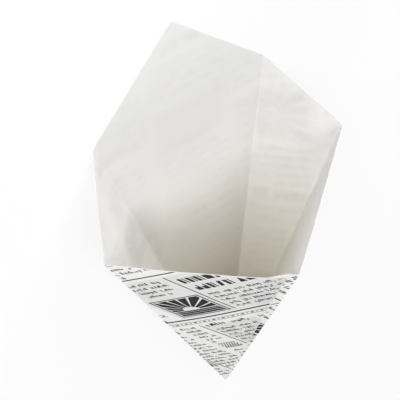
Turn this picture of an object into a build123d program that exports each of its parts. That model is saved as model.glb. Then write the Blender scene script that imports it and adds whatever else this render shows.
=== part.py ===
from build123d import *
import os
from math import atan, cos, degrees, radians, sqrt

# A pointed fries bag: one square sheet of paper, folded about the corner that becomes its tip
# and glued to itself along a seam. It lies open on its base panel with its mouth toward +Y.
# Seen from the mouth the open bag has the section of a house: a base, two short sides, and a
# roof of two panels that meet at a ridge. Lengths are in mm and angles in degrees.

# The flat sheet
sheet_side = 190.0
tip_corner = 90.0  # the sheet's corner at the tip, before the seam flap is added to it
paper_thickness = 0.12

# The folds all run from the tip, and their angles are measured there in the flat sheet
base_left_angle = 11.5  # from the sheet's diagonal to the fold on the left of the base panel
base_right_angle = 10.7  # from the sheet's diagonal to the fold on the right of the base panel
side_left_angle = 11.3  # width of the left side panel
side_right_angle = 11.1  # width of the right side panel
fold_radius = 1.0  # outside radius of a fold, one sheet side away from the tip

# The seam lies on the left roof panel. Its widths are measured along the rim from the ridge fold
seam_margin = 4.5  # bare strip between the fold and the cut edge that is glued on top
seam_flap = 12.5  # flap behind the panel, from the fold to the flap's free edge
seam_step = 4.9  # how far the flap's rim stands past the rim of the panel in front of it
flap_chamfer = 7.0  # how much of the flap's width is cut off at a slant, down to the panel's rim

# How far the bag is opened: the rise of each side panel from the plane of the base panel
rise_left = 52.4
rise_right = 51.2

# Near the tip the folds lie so close together that the paper is solid
closed_tip = 6.0

# Construction sizes, which leave no mark on the part
past_mouth = 1.1  # how far the ruled walls run before the rim is cut, as a share of the diagonal
past_wall = 1.2  # how far the cut at the rim reaches past the walls, as a share of its half-width
clear_outside = 5.0  # how far a slab in the seam starts outside the panel
past_ridge_angle = 5.0  # how far a slab in the seam runs past the ridge fold
past_flap_angle = 2.0  # how far the cut over the front layer runs past the flap

tip = Vector(0, 0, 0)
half_corner = tip_corner / 2
eave_left = base_left_angle + side_left_angle
eave_right = base_right_angle + side_right_angle
margin_angle = degrees(atan(seam_margin / sheet_side))
flap_angle = degrees(atan(seam_flap / sheet_side))
chamfer_angle = degrees(atan((seam_flap - flap_chamfer) / sheet_side))
roof_left = half_corner - eave_left + margin_angle
roof_right = half_corner - eave_right - margin_angle


# Distance from the tip to the sheet's far edges. Each edge is square to the side it starts from
def reach(angle):
    return sheet_side / cos(radians(half_corner - angle))


# Unit ray from the tip in the plane of the base panel, turned left from the diagonal
def flat_ray(angle):
    return Vector(0, 1, 0).rotate(Axis.Z, angle)


# Unit ray at a given angle from each of two others, on the side that their cross product shows
def ray_at_angles(ray_a, angle_a, ray_b, angle_b):
    cos_a = cos(radians(angle_a))
    cos_b = cos(radians(angle_b))
    shared = ray_a.dot(ray_b)
    in_plane = (ray_a * (cos_a - shared * cos_b) + ray_b * (cos_b - shared * cos_a)) / (1 - shared**2)
    return in_plane + ray_a.cross(ray_b).normalized() * sqrt(1 - in_plane.length**2)


fold_base_left = flat_ray(base_left_angle)
fold_base_right = flat_ray(-base_right_angle)
fold_eave_left = flat_ray(eave_left).rotate(Axis(tip, fold_base_left), rise_left)
fold_eave_right = flat_ray(-eave_right).rotate(Axis(tip, fold_base_right), -rise_right)
fold_ridge = ray_at_angles(fold_eave_right, roof_right, fold_eave_left, roof_left)

# The folds in order round the bag, and the panel that follows each, facing inward
folds = [fold_base_right, fold_base_left, fold_eave_left, fold_ridge, fold_eave_right]
panels = []
for fold, next_fold in zip(folds, folds[1:] + folds[:1]):
    panels.append(Plane(origin=tip, x_dir=fold, z_dir=fold.cross(next_fold)))
seam_panel = panels[2]



# Unit ray in the seam panel, turned back from the ridge fold
def seam_ray(angle):
    return fold_ridge.rotate(Axis(tip, seam_panel.z_dir), -angle)


# Point in the seam panel on the straight rim of the panel in front, or a step past it
def seam_rim(angle, step):
    return seam_ray(angle) * (reach(half_corner - margin_angle + angle) + step)


# The rim's corners in the same order, with the sheet's own corner as the peak of the base panel
peak = flat_ray(0) * reach(0)
rim_to_seam = [
    fold_base_right * reach(base_right_angle),
    peak,
    fold_base_left * reach(base_left_angle),
    fold_eave_left * reach(eave_left),
]
rim_end = fold_eave_right * reach(eave_right)
front_rim = rim_to_seam + [seam_rim(0, 0), rim_end]
flap_corners = [seam_rim(flap_angle, 0), seam_rim(chamfer_angle, seam_step), seam_rim(0, seam_step)]
flap_rim = rim_to_seam + flap_corners + [rim_end]
middle = sum(front_rim, Vector(0, 0, 0)) / len(front_rim)
wall_end = peak.Y * past_mouth


# Section across the space inside the panels, each moved inward by a depth, with rounded folds
# that narrow toward the tip as the panels do
def inside_section(depth, distance):
    across = Plane(origin=(0, distance, 0), z_dir=(0, 1, 0))
    walls = [panel.offset(depth) for panel in panels]
    corners = []
    for wall, next_wall in zip(walls[-1:] + walls[:-1], walls):
        corners.append(wall.intersect(next_wall).intersect(across))
    outline = Face(Wire.make_polygon(corners, close=True))
    return outline.fillet_2d((fold_radius - depth) * distance / sheet_side, outline.vertices())


# Slab over the seam panel between two angles back from the ridge, down to a depth
def seam_slab(from_angle, to_angle, depth):
    start = seam_ray(from_angle)
    end = seam_ray(to_angle)
    corners = [end * closed_tip, end * wall_end, start * wall_end, start * closed_tip]
    sector = Face(Wire.make_polygon(corners, close=True))
    outside = Location(seam_panel.z_dir * -clear_outside)
    return extrude(outside * sector, amount=clear_outside + depth, dir=seam_panel.z_dir)


# Solid under a rim: its top is a fan of flat faces, one through each straight stretch of rim
def under_rim(rim):
    behind_tip = middle * (1 - past_wall)
    ring = [middle + (corner - middle) * past_wall for corner in rim]
    faces = []
    for corner, next_corner in zip(ring, ring[1:] + ring[:1]):
        for point in (middle, behind_tip):
            faces.append(Face(Wire.make_polygon([point, corner, next_corner], close=True)))
    return Solid(Shell(faces))


# The folded sheet. The cut edge on top stands one thickness proud of the strip beside it, and
# the flap behind it makes the panel two thicknesses deep
def folded_sheet():
    outside = loft([Vertex(tip), inside_section(0, wall_end)], ruled=True)
    outside -= seam_slab(-past_ridge_angle, margin_angle, paper_thickness)
    hollow_ends = [inside_section(paper_thickness, end) for end in (closed_tip, wall_end)]
    hollow = loft(hollow_ends, ruled=True) - seam_slab(-past_ridge_angle, flap_angle, 2 * paper_thickness)
    front_layer = seam_slab(margin_angle, flap_angle + past_flap_angle, paper_thickness)
    return ((outside - hollow) & under_rim(flap_rim)) - (front_layer - under_rim(front_rim))


# The origin is under the middle of the part, on the surface that it lies on
def place_on_origin(part):
    box = part.bounding_box()
    return Location((-box.center().X, -box.center().Y, -box.min.Z)) * part


os.makedirs("parts", exist_ok=True)
paper_cone = place_on_origin(folded_sheet())
export_step(paper_cone, "parts/paper_cone.step")
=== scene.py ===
import math
import random

import bpy
import numpy as np
from mathutils import Matrix, Vector


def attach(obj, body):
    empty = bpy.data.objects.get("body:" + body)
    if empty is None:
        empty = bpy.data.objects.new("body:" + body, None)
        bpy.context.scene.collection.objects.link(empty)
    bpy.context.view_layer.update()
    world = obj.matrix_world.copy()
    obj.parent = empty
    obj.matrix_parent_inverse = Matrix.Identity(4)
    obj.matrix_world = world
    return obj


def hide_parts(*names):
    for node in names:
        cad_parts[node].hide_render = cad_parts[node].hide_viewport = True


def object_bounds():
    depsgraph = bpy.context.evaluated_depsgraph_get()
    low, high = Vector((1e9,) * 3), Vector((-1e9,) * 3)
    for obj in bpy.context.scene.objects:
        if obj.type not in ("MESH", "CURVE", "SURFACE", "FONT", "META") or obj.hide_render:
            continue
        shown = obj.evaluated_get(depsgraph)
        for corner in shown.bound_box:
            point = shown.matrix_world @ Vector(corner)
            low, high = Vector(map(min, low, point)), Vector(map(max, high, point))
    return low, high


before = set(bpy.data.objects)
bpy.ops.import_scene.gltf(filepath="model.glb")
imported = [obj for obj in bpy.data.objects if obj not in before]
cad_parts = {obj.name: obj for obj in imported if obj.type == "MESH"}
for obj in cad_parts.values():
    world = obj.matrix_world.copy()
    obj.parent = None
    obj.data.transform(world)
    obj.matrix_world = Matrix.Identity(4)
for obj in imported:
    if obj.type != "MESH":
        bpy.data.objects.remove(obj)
cadLow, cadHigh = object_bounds()
mm = 0.001

# fitted to the bag's corners in the photograph
cameraLook = {
    "place": (-0.16022, 0.43484, 0.32357),
    "right": (0.8333, -0.0994, 0.5439),
    "up": (0.467, 0.6532, -0.596),
    "lens": 104.08,
    "sensorWidth": 36.0,
    "clipStart": 0.01,
}
lens = bpy.data.cameras.new("photoCamera")
lens.lens = cameraLook["lens"]
lens.sensor_width = cameraLook["sensorWidth"]
lens.clip_start = cameraLook["clipStart"]
camera = bpy.data.objects.new("photoCamera", lens)
bpy.context.collection.objects.link(camera)
right = Vector(cameraLook["right"]).normalized()
up = Vector(cameraLook["up"])
up = (up - right * up.dot(right)).normalized()
turned = Matrix((right, up, right.cross(up))).transposed().to_4x4()
camera.matrix_world = Matrix.Translation(cameraLook["place"]) @ turned
bpy.context.scene.camera = camera
print("camera placed")


class Wire:
    # a node socket that adds its own Math nodes when it is used in plain sums
    def __init__(self, tree, socket=None):  # with no socket it only adds nodes
        self.tree = tree
        self.socket = socket

    def add(self, kind, settings=None, inputs=None, out=0):
        node = self.tree.nodes.new(kind)
        count = len(self.tree.nodes)
        node.location = (-1600 + count // 6 * 190, 500 - count % 6 * 190)  # laid out in columns of six
        for name, value in (settings or {}).items():
            setattr(node, name, value)
        for name, value in (inputs or {}).items():
            if isinstance(value, Wire):
                self.tree.links.new(value.socket, node.inputs[name])
            else:
                node.inputs[name].default_value = value
        return Wire(self.tree, node.outputs[out] if len(node.outputs) else None)

    def maths(self, operation, a, b=0.0, c=0.0):
        return self.add("ShaderNodeMath", {"operation": operation}, {0: a, 1: b, 2: c})

    def __add__(self, other):
        return self.maths("ADD", self, other)

    def __radd__(self, other):
        return self.maths("ADD", other, self)

    def __sub__(self, other):
        return self.maths("SUBTRACT", self, other)

    def __rsub__(self, other):
        return self.maths("SUBTRACT", other, self)

    def __mul__(self, other):
        return self.maths("MULTIPLY", self, other)

    def __rmul__(self, other):
        return self.maths("MULTIPLY", other, self)

    def __abs__(self):
        return self.maths("ABSOLUTE", self)

    def ramp(self, low, high, start=0.0, end=1.0):  # smooth step, from start at low to end at high
        return self.add(
            "ShaderNodeMapRange",
            {"interpolation_type": "SMOOTHSTEP"},
            {"Value": self, "From Min": low, "From Max": high, "To Min": start, "To Max": end},
        )

    def colours(self, first, second, share):  # two colours mixed: all first at 0, all second at 1
        sockets = {"Factor": share, 6: first, 7: second}  # its colours A and B, and 2 is its colour result
        return self.add("ShaderNodeMix", {"data_type": "RGBA"}, sockets, out=2)

    def along(self, direction):  # how far a place lies along a direction
        settings = {"operation": "DOT_PRODUCT"}
        return self.add("ShaderNodeVectorMath", settings, {0: self, 1: direction}, out="Value")


# how the flat sheet becomes the bag; lengths in mm, angles in degrees
bag = {
    "sheetSide": 190.0,
    "baseLeft": 11.5,  # folds each side of the sheet's diagonal
    "baseRight": 10.7,
    "sideLeft": 11.3,
    "sideRight": 11.1,
    "riseLeft": 52.4,  # how far the sides stand up from the base
    "riseRight": 51.2,
    "thickness": 0.12,
    "closedTip": 6.0,  # nearer to the tip the paper thins out, so that its inner face stays inside
    "thinnest": 0.03,  # share of the thickness that is left there
    "tipStart": 0.25,  # the mesh starts this far from the tip
    "seamMargin": 4.5,  # from the ridge to the cut edge on top
    "seamFlap": 12.5,  # glued flap behind the front panel
    "seamStep": 4.9,  # the flap's rim stands this far past the outer layer's rim
    "chamferFrom": 5.5,  # the flap's corner is cut off from here to its free edge
    "chamferSlope": 0.7,
    "layerGap": 0.02,  # between the front panel and the flap
    "dropFrom": 0.3,  # to pass behind the front panel, the paper starts to sink this far before the ridge
    "dropAcross": 0.8,  # and is down this far on
    "softFolds": (0.3, 0.3, 0.9, 0.4, 1.7, 0.3, 0.3),  # half-width of each fold's rounding
    "softHold": 2.2,  # it stays that for so many half-widths, and then blends into the next fold's
    "softSamples": 11,
    "softEnds": 1.0001,  # just over 1, so that the samples at its ends count too
    "rimSharpness": 0.3,  # share of the rounding that is left at the rim, where the folds are crisp
    "sharpFrom": 0.6,  # how far along from the tip to the rim it starts to lessen
    "cornerLift": 0.35,  # the outer layer's corner springs off the flap
    "liftAlong": 9.0,  # how far that reaches from the rim
    "liftAcross": 5.0,  # and from the cut edge
    "bow": (1.1, 0.15, 0.0, -0.2, 0.3, 1.1),  # outward bow of each panel at the rim
    "wave": (0.22, 0.14, 0.0, 0.16, 0.22, 0.22),  # how strongly each panel ripples there
    "ripples": [
        # length across and along the panel, share of the change between panels, share of the wave
        (9.0, 31.0, 2.1, 0.5),
        (15.0, -17.0, 1.0, 0.35),
        (5.2, 44.0, 3.3, 0.15),
    ],
    "panelChange": 1.7,  # moves the ripples on from each panel to the next
    "facingStep": 0.02,  # how far aside the paper is looked at to find the way that it faces
    "stepAcross": 0.4,  # mesh step across the sheet
    "foldSteps": (-1.5, -1.0, -0.66, -0.33, 0, 0.33, 0.66, 1.0, 1.5),  # rows at a fold, in half-widths
    "stepsAlong": 140,
    "alongEase": 0.9,  # under 1 the steps are shorter toward the rim
    "sharpAngle": 50.0,  # edges more bent than this are shaded as sharp
}
side = bag["sheetSide"]
corner, diagonal = 90.0, 45.0  # the sheet's corner at the tip, and where its diagonal lies


def flatRay(angle):
    turn = math.radians(angle)
    return np.array([-math.sin(turn), math.cos(turn), 0.0])


def spin(ray, axis, angle):
    turn = math.radians(angle)
    level = ray * math.cos(turn) + np.cross(axis, ray) * math.sin(turn)
    return level + axis * np.dot(axis, ray) * (1 - math.cos(turn))


def rayBetween(rayA, angleA, rayB, angleB):  # the ray at known angles from two others
    cosA, cosB = math.cos(math.radians(angleA)), math.cos(math.radians(angleB))
    shared = float(np.dot(rayA, rayB))
    level = (rayA * (cosA - shared * cosB) + rayB * (cosB - shared * cosA)) / (1 - shared**2)
    upright = np.cross(rayA, rayB)
    return level + upright / np.linalg.norm(upright) * math.sqrt(1 - np.dot(level, level))


eaveLeft = bag["baseLeft"] + bag["sideLeft"]
eaveRight = bag["baseRight"] + bag["sideRight"]
marginTurn = math.degrees(math.atan(bag["seamMargin"] / side))
flapTurn = math.degrees(math.atan(bag["seamFlap"] / side))
frontWidth = diagonal - eaveLeft + marginTurn
roofWidth = diagonal - eaveRight - marginTurn
foldBaseLeft, foldBaseRight = flatRay(bag["baseLeft"]), flatRay(-bag["baseRight"])
foldEaveLeft = spin(flatRay(eaveLeft), foldBaseLeft, bag["riseLeft"])
foldEaveRight = spin(flatRay(-eaveRight), foldBaseRight, -bag["riseRight"])
foldRidge = rayBetween(foldEaveRight, roofWidth, foldEaveLeft, frontWidth)

# turns are measured in degrees round the sheet from the cut edge on the front panel
turnEaveLeft = diagonal - eaveLeft
turnBaseLeft = diagonal - bag["baseLeft"]
turnBaseRight = diagonal + bag["baseRight"]
turnEaveRight = diagonal + eaveRight
turnRidge = turnEaveRight + roofWidth
turnFlap = turnRidge + flapTurn

# each fold's turn and its ray on the bag. The front panel comes twice, since the flap that is glued
# behind it lies in the same plane
bagFolds = [
    (-marginTurn, foldRidge),
    (turnEaveLeft, foldEaveLeft),
    (turnBaseLeft, foldBaseLeft),
    (turnBaseRight, foldBaseRight),
    (turnEaveRight, foldEaveRight),
    (turnRidge, foldRidge),
    (turnRidge + frontWidth, foldEaveLeft),
]
foldTurns = np.array([turn for turn, ray in bagFolds])
foldRays = np.array([ray for turn, ray in bagFolds])
flapPanel = len(bagFolds) - 2
# the bag's widest stretch lies over the origin, and its tip at the low end of the CAD's box
leftReach = side / math.cos(math.radians(turnEaveLeft))
rightReach = side / math.cos(math.radians(corner - turnEaveRight))
tipAside = -(foldEaveLeft[0] * leftReach + foldEaveRight[0] * rightReach) / 2
tipPlace = np.array([tipAside, cadLow.y / mm, 0.0])

softEdges = []
for turn, width in zip(foldTurns, bag["softFolds"]):
    softEdges += [turn - bag["softHold"] * width, turn + bag["softHold"] * width]
softWidths = np.repeat(bag["softFolds"], 2)


def panelOf(turn):
    return np.clip(np.searchsorted(foldTurns, turn, side="right") - 1, 0, flapPanel)


def rimReach(turn):  # distance from the tip to the sheet's far edges
    near = side / np.cos(np.radians(np.minimum(turn, diagonal)))
    far = side / np.cos(np.radians(corner - np.maximum(turn, diagonal)))
    climb = np.clip((turn - turnEaveRight) / (turnRidge - turnEaveRight), 0, 1) * bag["seamStep"]
    pastRidge = np.radians(np.maximum(turn - turnRidge, 0)) * side
    climb -= np.maximum(pastRidge - bag["chamferFrom"], 0) * bag["chamferSlope"]
    return np.where(turn <= diagonal, near, far + climb)


def sharpRay(turn):  # the ray from the tip at a turn, on flat panels that meet at sharp folds
    k = panelOf(turn)
    whole = np.radians(foldTurns[k + 1] - foldTurns[k])
    part = np.radians(turn - foldTurns[k])
    mixed = np.sin(whole - part)[:, None] * foldRays[k] + np.sin(part)[:, None] * foldRays[k + 1]
    return mixed / np.sin(whole)[:, None]


def softRay(turn, reach):  # the same with rounded folds: the mean of the rays close by
    softness = np.interp(reach / rimReach(turn), (bag["sharpFrom"], 1.0), (1.0, bag["rimSharpness"]))
    width = np.interp(turn, softEdges, softWidths) * softness
    total = np.zeros((len(turn), 3))
    for step in np.linspace(-1, 1, bag["softSamples"]):
        total += (bag["softEnds"] - step * step) * sharpRay(turn + step * width)
    return total / np.linalg.norm(total, axis=1)[:, None]


def reliefAt(turn, reach):  # panels bow and ripple a little between their folds
    k = panelOf(turn)
    across = (turn - foldTurns[k]) / (foldTurns[k + 1] - foldTurns[k])
    window = np.sin(np.pi * np.clip(across, 0, 1))
    change = np.where(k == flapPanel, 0, k) * bag["panelChange"]  # the flap is glued to panel 0
    aside = reach * np.sin(np.radians(turn - foldTurns[k]))
    ripple = 0.0
    for acrossLength, alongLength, changeShare, share in bag["ripples"]:
        ripple += np.sin(aside / acrossLength + reach / alongLength + change * changeShare) * share
    bow = np.array(bag["bow"])[k] * (reach / side) ** 2
    return window * (bow + ripple * np.array(bag["wave"])[k] * reach / side)


def onBag(turn, reach, depth):  # a point of the flat sheet, in the bag's place, in metres
    turn, reach = np.asarray(turn, float), np.asarray(reach, float)
    ray = softRay(turn, reach)
    along = softRay(turn + bag["facingStep"], reach) - softRay(turn - bag["facingStep"], reach)
    outward = np.cross(ray, along)
    outward /= np.linalg.norm(outward, axis=1)[:, None]
    thin = np.clip(reach / bag["closedTip"], bag["thinnest"], 1)
    behind = np.clip((turn - turnRidge + bag["dropFrom"]) / bag["dropAcross"], 0, 1)
    eased = behind * behind * (3 - 2 * behind)
    drop = eased * (bag["thickness"] + bag["layerGap"])
    edgeArc = np.radians(np.maximum(turn, 0)) * reach
    fromRim = (rimReach(turn) - reach) / bag["liftAlong"]
    lift = bag["cornerLift"] * np.exp(-(fromRim**2) - (edgeArc / bag["liftAcross"]) ** 2)
    push = reliefAt(turn, reach) + lift - (drop + depth) * thin
    return (tipPlace + ray * reach[:, None] + outward * push[:, None]) * mm


print("folds worked out")

# the print, drawn upright on the flat sheet: x to the right, y away from the tip; lengths in mm
newsprint = {
    "seed": 7,
    "rimMargin": 0.45,  # bare paper along the sheet's edges
    "seamMargin": 0.6,  # bare paper along the cut edge on the front
    "underSeam": 0.3,  # the print goes on this far under that edge
    "tipMargin": 5.0,
    "inkHeight": 0.03,  # how far the ink's faces stand off the paper
    "inkCell": 3.5,  # wide shapes are cut into cells of this size, to follow the paper
    "rowPitch": 5.2,
    "rowBase": 0.75,  # how far down its row a text stands, as a share of the pitch
    "smallHeight": 2.05,
    "strokeWidth": 0.68,
    "bold": 1.45,  # how much larger bold text is
    "lastRow": (0.3, 0.7),  # share of a text's last row that is bare, at least and at most
    "headHeight": 0.8,  # a heading's blocks and its pitch, as shares of its size
    "headPitch": 1.3,
    "headBare": 0.18,  # share of a heading's row that is bare at most
    "gaps": {"head": 1.2, "rule": 2.4, "picture": 3.0},  # bare paper after each
    "verticalWidth": 0.7,
    "strokes": {  # in stroke widths, or in text heights where it says so
        "inWord": (4, 11),
        "heights": (1.0, 1.0, 1.0, 0.6, 1.35, 1.4),  # in text heights
        "tail": 0.4,  # how far some go below the line, in text heights
        "tailShare": 0.12,
        "leans": (0, 0, 0, 0.22, -0.18),  # in text heights
        "widths": (0.8, 1.0, 1.0, 1.4),
        "gaps": (0.55, 0.75, 0.95),
        "wordGap": (2.2, 3.2),
        "room": 2,  # a stroke needs this much of the row
        "wordRoom": 3,  # and a word this much
    },
    "blocks": {  # in heading heights
        "inWord": (3, 6),
        "mix": ("pair", "pair", "step", "slant", "lozenge", "wedge", "stack"),
        "widths": {
            "pair": 0.54,
            "step": 0.48,
            "slant": 0.54,
            "lozenge": 0.66,
            "wedge": 0.62,
            "stack": 0.42,
        },
        "slabs": {  # left, foot, width, height and lean of each slab
            "pair": [(0, 0, 0.3, 1, 0), (0.42, 0, 0.12, 1, 0)],
            "step": [(0, 0, 0.34, 0.6, 0), (0.34, 0, 0.14, 1, 0)],
            "slant": [(0, 0, 0.3, 1, 0.24)],
            "stack": [(0, 0, 0.42, 0.42, 0), (0, 0.56, 0.42, 0.44, 0)],
        },
        "lozenge": (0.45, 0.9, 1.2),  # how high its middle is, its width and its height
        "gaps": (0.1, 0.15),
        "wordGap": 0.32,
        "room": 0.8,
        "wordRoom": 0.9,
    },
    "halftone": {
        "pitch": 1.55,
        "hillAside": 2,  # its middle lies this far to the right, and this far below the field
        "hillBelow": 4,
        "hillSteep": 1.2,
        "hillReach": 15,
        "hillTone": 0.9,  # darkest in the middle, and it would be gone this far out
        "hillFade": 28,
        "skyTone": 0.2,  # palest at the foot, and darker by this much at the top
        "skyDeepens": 0.38,
        "dotSpread": 1.15,
    },
    "frameWidth": 0.8,
    "rayEnds": (0.1, 0.9),  # where each ray starts and ends in its share of the arc
    "picture": {  # a low sun over ploughed rows
        "middle": (0.42, 0.3),  # in shares of the frame
        "rays": 9,
        "arc": math.pi,
        "core": 4.6,
        "furrow": 1.5,
        "furrowGap": 0.45,
        "furrowGrows": 1.25,
        "horizon": 0.5,  # the rows start this far below the sun's middle, and none is thinner than this
    },
    "rosette": {
        "middle": (0.5, 0.5),
        "rays": 14,
        "arc": math.tau,
        "core": 3.4,
        "heart": 1.3,  # width of the dot in the middle, in cores
    },
    "beads": {
        "lines": (1.3, 1.7),  # the hairlines, from the middle
        "pitch": 2.8,
        "lozenge": (2.4, 1.7),
        "dot": 1.0,
        "middle": 2.2,
        "height": 5.6,
    },
    "columns": [
        # left, right, top, bottom, then what stands in the column from the top down
        (60, 104, 262, 167, "head 1 8|text 5|rule 1|text 6|beads|text 3|rule 1.1"),
        (66, 87, 163, 140, "text 4"),
        (60, 88.5, 138, 110.5, "picture 26"),
        (94, 134, 161, 111, "head 2 8|text 6"),
        (44, 134, 108.6, 96, "rule 1.5|beads"),
        (61, 87, 98, 10, "bold 1|text 5|halftone 17|text 6"),
        (44, 55, 98, 10, "text 6|halftone 10|text 6"),
        (92, 104, 98, 10, "text 12"),
        (24, 54, 244, 114, "text 5|head 1 8|text 6|picture 26|text 5|beads|text 6|head 1 6|text 3"),
        (20, 40, 109, 10, "rule 1|rosette 16|text 12"),
        (-20, 17, 262, 10, "head 1 8|text 5|halftone 26|text 7|rule 1|head 2 6|bold 1|text 7|rule 0.7|text 6|"
         "beads|picture 26|text 9"),
        (-62, -24, 250, 10, "beads|text 7|rosette 28|text 5|head 1 8|bold 2|text 6|halftone 20|text 7|rule 1|"
         "text 12"),
        (-104, -67, 210, 40, "text 6|rule 1|head 2 6|text 6|beads|text 7|rosette 26|text 12"),
        (-134, -109, 165, 60, "head 1 6|text 8|rule 1|text 8"),
    ],
    "verticals": [
        # left, top, bottom
        (90.4, 164, 112),
        (57.8, 98, 20),
        (21, 240, 112),
        (18.4, 108, 20),
        (-22.4, 262, 20),
        (-64.8, 250, 20),
        (-106.8, 212, 60),
    ],
    "tints": [
        # left, top, right, bottom
        (57.5, 165, 134, 109.5),
        (59, 96, 89.5, 20),
        (-22, 206, 20, 120),
        (-64.5, 150, -24, 60),
        (23, 200, 56, 130),
        (-106.5, 190, -66, 118),
    ],
}
dice = random.Random(newsprint["seed"])
blackShapes = []


def bar(left, top, right, bottom):  # a filled box, cut into small cells
    xs = np.linspace(left, right, max(int((right - left) / newsprint["inkCell"]), 1) + 1)
    ys = np.linspace(bottom, top, max(int((top - bottom) / newsprint["inkCell"]), 1) + 1)
    for x0, x1 in zip(xs, xs[1:]):
        for y0, y1 in zip(ys, ys[1:]):
            blackShapes.append([(x0, y0), (x1, y0), (x1, y1), (x0, y1)])


def slab(x, base, wide, tall, lean):  # an upright or leaning stroke
    blackShapes.append([(x, base), (x + wide, base), (x + wide + lean, base + tall), (x + lean, base + tall)])


def dot(x, y, across, tall=None, sides=8):  # round or oval, with so many straight sides
    tall = across if tall is None else tall
    around = [math.tau * (i + 0.5) / sides for i in range(sides)]
    blackShapes.append([(x + across / 2 * math.cos(a), y + tall / 2 * math.sin(a)) for a in around])


def strokes(left, right, base, height, width):  # greeked words: plain upright and leaning strokes
    look = newsprint["strokes"]
    x = left
    while x < right - width * look["wordRoom"]:
        for stroke in range(dice.randint(*look["inWord"])):
            if x > right - width * look["room"]:
                break
            tall = height * dice.choice(look["heights"])
            foot = base - height * (look["tail"] if dice.random() < look["tailShare"] else 0)
            lean = height * dice.choice(look["leans"])
            wide = width * dice.choice(look["widths"])
            slab(x, foot, wide, tall, lean)
            x += wide + width * dice.choice(look["gaps"])
        x += width * dice.uniform(*look["wordGap"])


def blocks(left, right, base, height):  # a greeked heading: stems, steps, stacks, wedges and lozenges
    look = newsprint["blocks"]
    x = left
    while x < right - height * look["wordRoom"]:
        for block in range(dice.randint(*look["inWord"])):
            if x + height * look["room"] > right:
                break
            kind = dice.choice(look["mix"])
            width = height * look["widths"][kind]
            if kind == "wedge":
                blackShapes.append([(x, base), (x + width, base), (x + width / 2, base + height)])
            elif kind == "lozenge":
                middle, wide, tall = look["lozenge"]
                dot(x + width / 2, base + height * middle, height * wide, height * tall, sides=4)
            else:
                for aside, foot, *sizes in look["slabs"][kind]:
                    slab(x + height * aside, base + height * foot, *(height * size for size in sizes))
            x += width
            x += height * dice.choice(look["gaps"])
        x += height * look["wordGap"]


def halftone(left, right, top, bottom):  # a round hill and sky in newspaper dots
    look = newsprint["halftone"]
    pitch = look["pitch"]
    middleX, middleY = (left + right) / 2 + look["hillAside"], bottom - look["hillBelow"]
    rows = int((top - bottom) / pitch)
    for j in range(rows):
        for i in range(int((right - left) / pitch)):
            x = left + pitch * (i + 0.25 + 0.5 * (j % 2))  # every other row moves half a pitch aside
            y = bottom + pitch * (j + 0.5)
            away = math.hypot(x - middleX, (y - middleY) * look["hillSteep"])
            tone = look["skyTone"] + look["skyDeepens"] * j / rows
            if away < look["hillReach"]:
                tone = look["hillTone"] - away / look["hillFade"]
            dot(x, y, pitch * look["dotSpread"] * math.sqrt(tone), sides=6)


def picture(left, right, top, bottom, kind):  # a low sun over ploughed rows, or a rosette, in a ruled frame
    look, thick = newsprint[kind], newsprint["frameWidth"]
    bar(left, top, right, top - thick)
    bar(left, bottom + thick, right, bottom)
    bar(left, top, left + thick, bottom)
    bar(right - thick, top, right, bottom)
    inset = 2 * thick
    left, right, top, bottom = left + inset, right - inset, top - inset, bottom + inset
    middleX = left + look["middle"][0] * (right - left)
    middleY = bottom + look["middle"][1] * (top - bottom)
    tiny = 1e-6  # what a level or upright ray divides by, instead of zero

    def toFrame(angle):
        dx, dy = math.cos(angle), math.sin(angle)
        sideways = (right - middleX) / dx if dx > 0 else (left - middleX) / min(dx, -tiny)
        upward = (top - middleY) / dy if dy > 0 else (bottom - middleY) / min(dy, -tiny)
        reach = min(sideways, upward)
        return middleX + dx * reach, middleY + dy * reach

    corners = [math.atan2(y - middleY, x - middleX) % math.tau for x in (right, left) for y in (top, bottom)]
    rays, arc, core = look["rays"], look["arc"], look["core"]
    for k in range(rays):
        start, end = (arc * (k + share) / rays for share in newsprint["rayEnds"])
        halfway = (start + end) / 2  # each ray is two shapes, so that both are convex
        for first, last in ((start, halfway), (halfway, end)):
            angles = [first] + [c for c in corners if first < c < last] + [last]
            inner = [(middleX + core * math.cos(a), middleY + core * math.sin(a)) for a in (last, first)]
            blackShapes.append(inner + [toFrame(a) for a in angles])
    if kind == "rosette":
        dot(middleX, middleY, core * look["heart"], sides=12)
        return
    y, furrow = middleY - look["horizon"], look["furrow"]
    while y - furrow > bottom:
        bar(left, y, right, y - furrow)
        y -= furrow + look["furrowGap"]
        furrow *= look["furrowGrows"]
    if y - bottom > look["horizon"]:
        bar(left, y, right, bottom)


def beads(left, right, y):  # an ornamental rule of lozenges and dots between hairlines
    look = newsprint["beads"]
    near, far = look["lines"]
    bar(left, y + far, right, y + near)
    bar(left, y - near, right, y - far)
    count = max(int((right - left) / look["pitch"]), 1)
    for i in range(count):
        x = left + (right - left) * (i + 0.5) / count
        if i % 2:
            dot(x, y, *look["lozenge"], sides=4)
        else:
            dot(x, y, look["dot"])


def textRows(left, right, top, bottom, rows, kind):  # returns where the next item starts
    y, pitch = top, newsprint["rowPitch"]
    heavier = newsprint["bold"] if kind == "bold" else 1.0
    height, width = newsprint["smallHeight"] * heavier, newsprint["strokeWidth"] * heavier
    for row in range(rows):
        if y - pitch < bottom:
            break
        bare = 0
        if kind == "text" and row == rows - 1:
            bare = (right - left) * dice.uniform(*newsprint["lastRow"])
        strokes(left, right - bare, y - pitch * newsprint["rowBase"], height, width)
        y -= pitch * heavier
    return y


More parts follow.
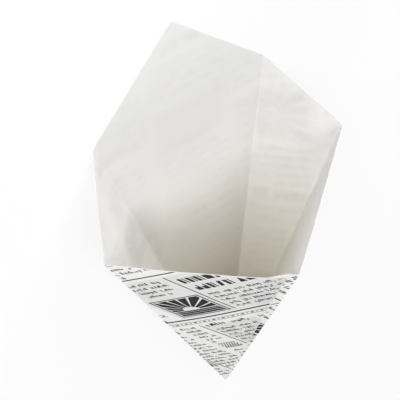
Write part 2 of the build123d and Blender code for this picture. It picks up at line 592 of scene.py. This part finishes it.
def fillColumn(left, right, top, bottom, plan):
    y, gaps = top, newsprint["gaps"]
    for item in plan.split("|"):
        kind, *numbers = item.split()
        numbers = [float(n) for n in numbers]
        if kind in ("text", "bold"):
            y = textRows(left, right, y, bottom, int(numbers[0]), kind)
        elif kind == "head":
            lines, size = numbers
            for line in range(int(lines)):
                bare = (right - left) * dice.uniform(0, newsprint["headBare"])
                blocks(left, right - bare, y - size, size * newsprint["headHeight"])
                y -= size * newsprint["headPitch"]
            y -= gaps["head"]
        elif kind == "rule":
            bar(left, y, right, y - numbers[0])
            y -= numbers[0] + gaps["rule"]
        elif kind == "beads":
            beads(left, right, y - newsprint["beads"]["middle"])
            y -= newsprint["beads"]["height"]
        elif kind == "halftone":
            halftone(left, right, y, y - numbers[0])
            y -= numbers[0] + gaps["picture"]
        elif kind in ("picture", "rosette"):
            picture(left, right, y, y - numbers[0], kind)
            y -= numbers[0] + gaps["picture"]


for column in newsprint["columns"]:
    fillColumn(*column)
for x, top, bottom in newsprint["verticals"]:
    bar(x, top, x + newsprint["verticalWidth"], bottom)


def keepSide(shape, normal, limit):  # the part of a convex shape where normal . point <= limit
    kept = []
    for (x0, y0), (x1, y1) in zip(shape, shape[1:] + shape[:1]):
        d0 = normal[0] * x0 + normal[1] * y0 - limit
        d1 = normal[0] * x1 + normal[1] * y1 - limit
        if d0 <= 0:
            kept.append((x0, y0))
        if (d0 < 0 < d1) or (d1 < 0 < d0):
            s = d0 / (d0 - d1)
            kept.append((x0 + (x1 - x0) * s, y0 + (y1 - y0) * s))
    return kept


innerFolds = slice(1, -1)  # the first and last of the bag's folds lie past the sheet's edges
cutTurns = []
for turn, width in list(zip(foldTurns, bag["softFolds"]))[innerFolds]:
    cutTurns += [float(turn + step * width) for step in bag["foldSteps"]]
cutTurns.sort()
margin = newsprint["rimMargin"]
eaveX = side * math.tan(math.radians(corner - turnEaveRight))
ridgeX = side * math.tan(math.radians(corner - turnRidge))
rimSlope = bag["seamStep"] / (eaveX - ridgeX)
printLimits = [
    ((0, -1), -newsprint["seamMargin"]),
    ((1, 0), side - margin),
    ((-1, 0), newsprint["underSeam"]),
    ((-1, -1), -newsprint["tipMargin"]),
]


def turnOf(point):
    return math.degrees(math.atan2(point[1], point[0]))


def laidOnSheet(shape):  # turned to the sheet's own axes, trimmed to its margins and cut at the folds
    shape = [((y + x) / math.sqrt(2), (y - x) / math.sqrt(2)) for x, y in shape]
    for normal, limit in printLimits:
        shape = keepSide(shape, normal, limit)
        if len(shape) < 3:
            return []
    whole, pieces = shape, []
    angles = [turnOf(point) for point in whole]
    for cut in cutTurns:
        if min(angles) < cut < max(angles):
            a = math.radians(cut)
            pieces.append(keepSide(whole, (-math.sin(a), math.cos(a)), 0))
            whole = keepSide(whole, (math.sin(a), -math.cos(a)), 0)
    pieces.append(whole)
    kept = []
    for piece in pieces:
        if len(piece) < 3:
            continue
        if sum(turnOf(point) for point in piece) / len(piece) < turnEaveRight:
            piece = keepSide(piece, (0, 1), side - margin)
        else:
            piece = keepSide(piece, (rimSlope, 1), side - margin + rimSlope * eaveX)
        if len(piece) >= 3:
            kept.append(piece)
    return kept


blackLaid = [piece for shape in blackShapes for piece in laidOnSheet(shape)]
print("newsprint drawn:", len(blackLaid), "shapes")

# how the print shows through to the inside; lengths in mm on the flat sheet
ghostPrint = {
    "mapSide": 210,
    "mapEdge": 10,  # how far the map starts outside the sheet
    "cell": 0.5,
    "inkEach": 0.4,  # area that each sample stands for
    "sampleStep": 0.618,  # spreads the samples evenly
    "sampleStart": 0.3,
    "blur": 0.9,
    "blurCells": 6,  # how far the blur is followed each way
}
cell = ghostPrint["cell"]


def mapCell(place):
    return int((place + ghostPrint["mapEdge"]) / cell)


def inkBehind(shapes):  # how much ink lies behind each spot, blurred as thin paper blurs it
    cells = int(ghostPrint["mapSide"] / cell)
    inked = np.zeros((cells, cells))
    for shape in shapes:
        ax, ay = shape[0]
        for (bx, by), (cx, cy) in zip(shape[1:], shape[2:]):
            area = abs((bx - ax) * (cy - ay) - (cx - ax) * (by - ay)) / 2
            count = max(int(area / ghostPrint["inkEach"]), 1)
            for i in range(count):
                u = (i * ghostPrint["sampleStep"] + ghostPrint["sampleStart"]) % 1
                v = (i + 0.5) / count
                u, v = (1 - u, 1 - v) if u + v > 1 else (u, v)
                column = mapCell(ax + (bx - ax) * u + (cx - ax) * v)
                row = mapCell(ay + (by - ay) * u + (cy - ay) * v)
                inked[row, column] += area / count / cell**2
    steps = np.arange(-ghostPrint["blurCells"], ghostPrint["blurCells"] + 1)
    weights = np.exp(-((steps * cell / ghostPrint["blur"]) ** 2) / 2)
    weights /= weights.sum()
    for axis in (0, 1):
        inked = np.apply_along_axis(lambda line: np.convolve(line, weights, mode="same"), axis, inked)
    return inked


inkMap = inkBehind(blackLaid)


def stopsAcross():  # the turns of the mesh's rows, with one at each fold, edge and corner of the sheet
    chamferTurn = turnRidge + math.degrees(bag["chamferFrom"] / side)
    stops = [0.0, diagonal, chamferTurn, turnFlap] + cutTurns
    stops = sorted(set(round(s, 4) for s in stops if 0 <= s <= turnFlap))  # those that fall together are one
    filled = []
    for start, end in zip(stops, stops[1:]):
        filled += list(np.linspace(start, end, max(int((end - start) / bag["stepAcross"]), 1) + 1)[:-1])
    return np.array(filled + [stops[-1]])


turns = stopsAcross()
shares = np.linspace(0, 1, bag["stepsAlong"]) ** bag["alongEase"]
turnGrid = np.repeat(turns, len(shares))
reachGrid = (bag["tipStart"] + (rimReach(turns)[:, None] - bag["tipStart"]) * shares[None, :]).ravel()
outerSpots = onBag(turnGrid, reachGrid, 0.0)
innerSpots = onBag(turnGrid, reachGrid, bag["thickness"])
blankX = reachGrid * np.cos(np.radians(turnGrid))
blankY = reachGrid * np.sin(np.radians(turnGrid))
half = len(turnGrid)
endAcross, endAlong = len(turns) - 1, len(shares) - 1


def quad(face, *corners):  # corners are (row, place along it), on the outer face at 0 or the inner at 1
    return tuple(face * half + i * len(shares) + j for i, j in corners)


def edgeQuad(first, second):  # joins the two faces along a step of the sheet's edge
    return quad(0, first, second) + quad(1, second, first)


faces, slots = [], []
for i in range(endAcross):
    for j in range(endAlong):
        faces.append(quad(0, (i, j), (i, j + 1), (i + 1, j + 1), (i + 1, j)))
        faces.append(quad(1, (i, j), (i + 1, j), (i + 1, j + 1), (i, j + 1)))
        slots += [1, 0]
edgeStart = len(faces)
for i in range(endAcross):
    faces.append(edgeQuad((i + 1, endAlong), (i, endAlong)))
    faces.append(edgeQuad((i, 0), (i + 1, 0)))
for j in range(endAlong):
    faces.append(edgeQuad((0, j + 1), (0, j)))
    faces.append(edgeQuad((endAcross, j), (endAcross, j + 1)))
slots += [2] * (len(faces) - edgeStart)


def makePiece(name, points, polygons, materialSlots, sheetUv, bakeUv, smooth):
    mesh = bpy.data.meshes.new(name)
    mesh.from_pydata([tuple(p) for p in points], [], polygons)
    mesh.polygons.foreach_set("material_index", materialSlots)
    for layerName, values in (("OFBake", bakeUv), ("flatSheet", sheetUv)):
        layer = mesh.uv_layers.new(name=layerName)
        layer.data.foreach_set("uv", np.asarray(values, np.float32).ravel())
    mesh.polygons.foreach_set("use_smooth", [smooth] * len(polygons))
    piece = bpy.data.objects.new(name, mesh)
    bpy.context.collection.objects.link(piece)
    return piece


# where a bake holds the outer face, the inner face beside it and the cut edges between them
bakeLayout = {
    "left": 0.008,
    "foot": 0.01,
    "width": 0.485,
    "height": 0.98,
    "innerAside": 0.5,
    "flapRoom": 12,  # mm on the flat sheet, before the tip
    "sheetAcross": 210,
    "sheetUp": 205,
    "edgeLeft": 0.4965,
    "edgeWidth": 0.004,
    "inkFoot": 0.01,
    "inkSize": 0.95,
}
left, foot, height = bakeLayout["left"], bakeLayout["foot"], bakeLayout["height"]
loops = np.array([v for face in faces for v in face])
isInner = (loops >= half).astype(float)
flatX, flatY = blankX[loops % half], blankY[loops % half]
shareX = (flatX + bakeLayout["flapRoom"]) / bakeLayout["sheetAcross"]
sheetUv = np.column_stack((flatX / side, flatY / side))
bakeUv = np.column_stack((
    left + shareX * bakeLayout["width"] + isInner * bakeLayout["innerAside"],
    foot + flatY / bakeLayout["sheetUp"] * height,
))
edgeLoops = slice(edgeStart * 4, None)
bakeUv[edgeLoops, 0] = bakeLayout["edgeLeft"] + bakeLayout["edgeWidth"] * isInner[edgeLoops]
bakeUv[edgeLoops, 1] = foot + ((loops[edgeLoops] % half) / half) * height
sheet = makePiece("foldedSheet", np.vstack((outerSpots, innerSpots)), faces, slots, sheetUv, bakeUv, True)
sheet.data.set_sharp_from_angle(angle=math.radians(bag["sharpAngle"]))
ghost = np.array([inkMap[mapCell(y), mapCell(x)] for x, y in zip(blankX, blankY)])
seen = sheet.data.attributes.new("showThrough", "FLOAT", "POINT")
seen.data.foreach_set("value", np.concatenate((np.zeros(half), np.clip(ghost, 0, 1))).astype(np.float32))
print("sheet folded:", len(faces), "faces")

# the ink: thin faces just off the paper
inkTurns, inkReaches, inkFaces = [], [], []
for piece in blackLaid:
    inkFaces.append(tuple(range(len(inkTurns), len(inkTurns) + len(piece))))
    inkTurns += [turnOf(point) for point in piece]
    inkReaches += [math.hypot(x, y) for x, y in piece]
inkTurns, inkReaches = np.array(inkTurns), np.array(inkReaches)
inkSpots = onBag(inkTurns, inkReaches, -newsprint["inkHeight"])
inkLoops = np.array([v for face in inkFaces for v in face])
inkX = inkReaches * np.cos(np.radians(inkTurns))
inkY = inkReaches * np.sin(np.radians(inkTurns))
inkUv = np.column_stack((inkX, inkY))[inkLoops] / side
inkBake = bakeLayout["inkFoot"] + (inkUv + bakeLayout["inkFoot"]) * bakeLayout["inkSize"]
ink = makePiece("newsprintInk", inkSpots, inkFaces, [0] * len(inkFaces), inkUv, inkBake, False)
print("ink laid on:", len(inkFaces), "faces")

paperLook = {
    "inside": (0.938, 0.943, 0.944, 1),
    "insideDeepShade": (0.94, 0.888, 0.795, 1),  # painted shade: warmer and darker toward the tip, standing in for light warmed by bouncing deep inside the cone
    "deepShadeReach": (0.45, 1.1),  # from all painted deep shade to none, in sheet sides from the tip
    "outside": (0.935, 0.938, 0.94, 1),
    # painted shade: the cut edges are darker than the faces, for the dark line along the rim
    "edge": (0.7, 0.69, 0.67, 1),
    "fleck": (0.35, 0.33, 0.29, 1),  # what the fibres darken toward
    "fleckShares": {"fine": 0.05, "cloudy": 0.045, "mottle": 0.06},
    # painted highlight: a pale line along the folds, where their rounding catches the light
    "foldHighlight": (0.985, 0.98, 0.97, 1),
    "foldHighlightWidth": (0.1, 0.5),  # mm each side of a fold, where it starts to fade and where it ends
    "foldHighlightStrength": (0.6, 0.6, 0.6, 0.15, 0.6),  # how strong the painted highlight is along each fold
    "tint": (0.765, 0.768, 0.771, 1),
    "tintEdge": 0.15,  # mm
    "showThrough": 0.12,
    "glow": (0.93, 0.91, 0.87, 1),  # the light that comes through the paper
    "thinInside": 0.36,  # share of the light that each face lets through
    "thinOutside": 0.22,
    "thinEdge": 0.08,
    "gloss": 0.18,
    "roughness": (0.5, 0.14),  # the least, and what the fibres add
    "reliefStrength": 0.35,
    "relief": {"cloudy": 2.2, "foldHighlight": 0.8},  # beside the fine fibres' own 1
}
noises = {  # scale, detail and roughness, over a sheet side
    "fine": (330.0, 4.0, 0.65),  # felt of fibres
    "cloudy": (34.0, 3.0, 0.55),  # the uneven formation of thin paper
    "mottle": (110.0, 2.0, 0.6),
}
reliefDepth = 0.0002  # metres that a height of 1 stands for


def emptyTree(owner):  # of a material or a world
    owner.use_nodes = True
    owner.node_tree.nodes.clear()
    return Wire(owner.node_tree)


def placeOnSheet(wire):
    return wire.add("ShaderNodeUVMap", {"uv_map": "flatSheet"}, out="UV")


def noise(wire, place, kind):
    scale, detail, roughness = noises[kind]
    sockets = {"Vector": place, "Scale": scale, "Detail": detail, "Roughness": roughness}
    return wire.add("ShaderNodeTexNoise", None, sockets)


def bumped(wire, strength, height):
    return wire.add("ShaderNodeBump", None, {"Strength": strength, "Distance": reliefDepth, "Height": height})


def dullSurface(wire, colour, roughness, normal, gloss):
    sockets = {"Base Color": colour, "Roughness": roughness, "Normal": normal, "Specular IOR Level": gloss}
    return wire.add("ShaderNodeBsdfPrincipled", None, sockets)


def foldHighlights(wire, place):  # a painted highlight: a pale line along each fold
    mask = None
    for turn, paleShare in zip(foldTurns[innerFolds], paperLook["foldHighlightStrength"]):
        a = math.radians(turn)
        away = place.along((-math.sin(a) * side, math.cos(a) * side, 0))
        line = abs(away).ramp(*paperLook["foldHighlightWidth"], paleShare, 0.0)
        mask = line if mask is None else wire.maths("MAXIMUM", mask, line)
    return mask


def tintMask(wire, place):  # the grey fields behind some of the columns
    slant, soft = side / math.sqrt(2), paperLook["tintEdge"]
    across, upward = place.along((slant, -slant, 0)), place.along((slant, slant, 0))
    mask = None
    for left, top, right, bottom in newsprint["tints"]:
        asideX = abs(across - (left + right) / 2) - (right - left) / 2
        asideY = abs(upward - (top + bottom) / 2) - (top - bottom) / 2
        box = wire.maths("MAXIMUM", asideX, asideY).ramp(-soft, soft, 1.0, 0.0)
        mask = box if mask is None else wire.maths("MAXIMUM", mask, box)
    toRim = wire.maths("MINIMUM", 1 - place.along((1, 0, 0)), 1 - place.along((0, 1, 0))) * side
    return mask * toRim.ramp(margin - soft, margin + soft)


def paperFinish(name, colour, deepShadeColour, thin, inner=False, tinted=False):
    look = bpy.data.materials.new(name)
    wire = emptyTree(look)
    place = placeOnSheet(wire)
    fine, cloudy, mottle = (noise(wire, place, kind) for kind in ("fine", "cloudy", "mottle"))
    fleck, relief = paperLook["fleckShares"], paperLook["relief"]
    fromTip = wire.add("ShaderNodeVectorMath", {"operation": "LENGTH"}, {0: place}, out="Value")
    # the inside is painted with a warmer, darker shade toward the tip
    deepShade = fromTip.ramp(*paperLook["deepShadeReach"], 1.0, 0.0)
    shade = wire.colours(paperLook[colour], paperLook[deepShadeColour], deepShade)
    darker = fleck["cloudy"] * cloudy + fleck["fine"] * fine + fleck["mottle"] * (mottle - 0.5)
    if inner:
        behind = wire.add("ShaderNodeAttribute", {"attribute_name": "showThrough"}, out="Fac")
        darker = darker + paperLook["showThrough"] * behind
    foldHighlight = foldHighlights(wire, place)
    shade = wire.colours(shade, paperLook["fleck"], darker)
    # painted highlight along the folds
    shade = wire.colours(shade, paperLook["foldHighlight"], foldHighlight)
    if tinted:
        shade = wire.colours(shade, paperLook["tint"], tintMask(wire, place))
    height = fine + relief["cloudy"] * cloudy + relief["foldHighlight"] * foldHighlight
    normal = bumped(wire, paperLook["reliefStrength"], height)
    least, more = paperLook["roughness"]
    paper = dullSurface(wire, shade, least + more * fine, normal, paperLook["gloss"])
    glow = wire.add("ShaderNodeBsdfTranslucent", None, {"Color": paperLook["glow"]})
    thinSheet = wire.add("ShaderNodeMixShader", None, {"Fac": paperLook[thin], 1: paper, 2: glow})
    wire.add("ShaderNodeOutputMaterial", None, {"Surface": thinSheet})
    return look


for finish in (
    paperFinish("greaseproofInside", "inside", "insideDeepShade", "thinInside", inner=True),
    paperFinish("newsprintGround", "outside", "outside", "thinOutside", tinted=True),
    paperFinish("cutEdge", "edge", "edge", "thinEdge"),
):
    sheet.data.materials.append(finish)

inkLook = {
    "colour": (0.012, 0.012, 0.014, 1),
    "worn": (0.06, 0.06, 0.06, 1),
    "paleShare": 0.6,
    "wearFine": (0.45, 0.75),  # from no wear to all, on the fine fibres
    "wearCloudy": 0.4,
    "gloss": 0.04,
    "roughness": (0.66, 0.12),
    "reliefStrength": 0.25,
    "reliefCloudy": 1.5,
}


def inkFinish(name):
    look = bpy.data.materials.new(name)
    wire = emptyTree(look)
    place = placeOnSheet(wire)
    fine, cloudy = (noise(wire, place, kind) for kind in ("fine", "cloudy"))
    paleShare = inkLook["paleShare"] * (fine.ramp(*inkLook["wearFine"]) + inkLook["wearCloudy"] * cloudy)
    shade = wire.colours(inkLook["colour"], inkLook["worn"], paleShare)
    normal = bumped(wire, inkLook["reliefStrength"], fine + inkLook["reliefCloudy"] * cloudy)
    least, more = inkLook["roughness"]
    black = dullSurface(wire, shade, least + more * fine, normal, inkLook["gloss"])
    wire.add("ShaderNodeOutputMaterial", None, {"Surface": black})
    return look


ink.data.materials.append(inkFinish("pressBlack"))
for piece in (sheet, ink):
    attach(piece, "root")
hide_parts("paper_cone")
print("paper and ink finished")

# a pale floor and soft studio light
studio = {
    "floorColour": (0.82, 0.82, 0.82, 1),
    "floorReach": 6.0,
    "floorTop": -0.0002,
    "floorLift": 0.8,  # how much of the floor the camera sees as plain white
    "white": (1, 1, 1, 1),
    "fillStrength": 0.25,
    "fillColour": (1.0, 1.0, 1.0, 1),
    "lampAim": (0, 0.03, 0.03),
    "lampDistance": 1.4,
    "lampSize": 0.8,
    "lamps": {  # direction that each shines from, and its power
        "highKey": ((0.0, 0.30, 0.95), 7.0),
        "leftSoft": ((-0.60, 0.60, 0.50), 5.4),
        "mouthLeft": ((-0.35, 0.88, 0.30), 8.3),
        "mouthRight": ((0.45, 0.84, 0.30), 11.2),
        "behindLeft": ((-0.62, -0.68, 0.40), 6.9),
        "behindRight": ((0.80, -0.45, 0.40), 2.3),
    },
}


def seenRays(wire):  # straight, mirrored or through glass, but not the light that glows through the paper
    direct, mirrored, through, scattered = (
        wire.add("ShaderNodeLightPath", out=f"Is {kind} Ray")
        for kind in ("Camera", "Glossy", "Transmission", "Diffuse")
    )
    return wire.maths("MAXIMUM", wire.maths("MAXIMUM", direct, mirrored), through * (1 - scattered))


reach, top = studio["floorReach"], studio["floorTop"]
floorCorners = [(x * reach, y * reach, top) for x, y in ((-1, -1), (1, -1), (1, 1), (-1, 1))]
floorMesh = bpy.data.meshes.new("floor")
floorMesh.from_pydata(floorCorners, [], [(0, 1, 2, 3)])
floor = bpy.data.objects.new("floor", floorMesh)
bpy.context.collection.objects.link(floor)
paleFloor = bpy.data.materials.new("paleFloor")
wire = emptyTree(paleFloor)
matte = wire.add("ShaderNodeBsdfDiffuse", None, {"Color": studio["floorColour"]})
white = wire.add("ShaderNodeEmission", None, {"Color": studio["white"], "Strength": 1.0})
lifted = seenRays(wire) * studio["floorLift"]
surface = wire.add("ShaderNodeMixShader", None, {"Fac": lifted, 1: matte, 2: white})
wire.add("ShaderNodeOutputMaterial", None, {"Surface": surface})
floorMesh.materials.append(paleFloor)

world = bpy.data.worlds.new("studioWorld")
wire = emptyTree(world)
fillLight = {"Color": studio["fillColour"], "Strength": studio["fillStrength"]}
fill = wire.add("ShaderNodeBackground", None, fillLight)
backdrop = wire.add("ShaderNodeBackground", None, {"Color": studio["white"], "Strength": 1.0})
surface = wire.add("ShaderNodeMixShader", None, {"Fac": seenRays(wire), 1: fill, 2: backdrop})
wire.add("ShaderNodeOutputWorld", None, {"Surface": surface})
bpy.context.scene.world = world

aim = Vector(studio["lampAim"])
for name, (direction, power) in studio["lamps"].items():
    lamp = bpy.data.lights.new(name, "AREA")
    lamp.shape = "DISK"
    lamp.size = studio["lampSize"]
    lamp.energy = power
    shining = bpy.data.objects.new(name, lamp)
    bpy.context.collection.objects.link(shining)
    towards = Vector(direction).normalized()
    shining.location = aim + towards * studio["lampDistance"]
    shining.rotation_mode = "QUATERNION"
    shining.rotation_quaternion = towards.to_track_quat("Z", "Y")
bpy.context.scene.view_settings.view_transform = "Standard"
print("studio lit")
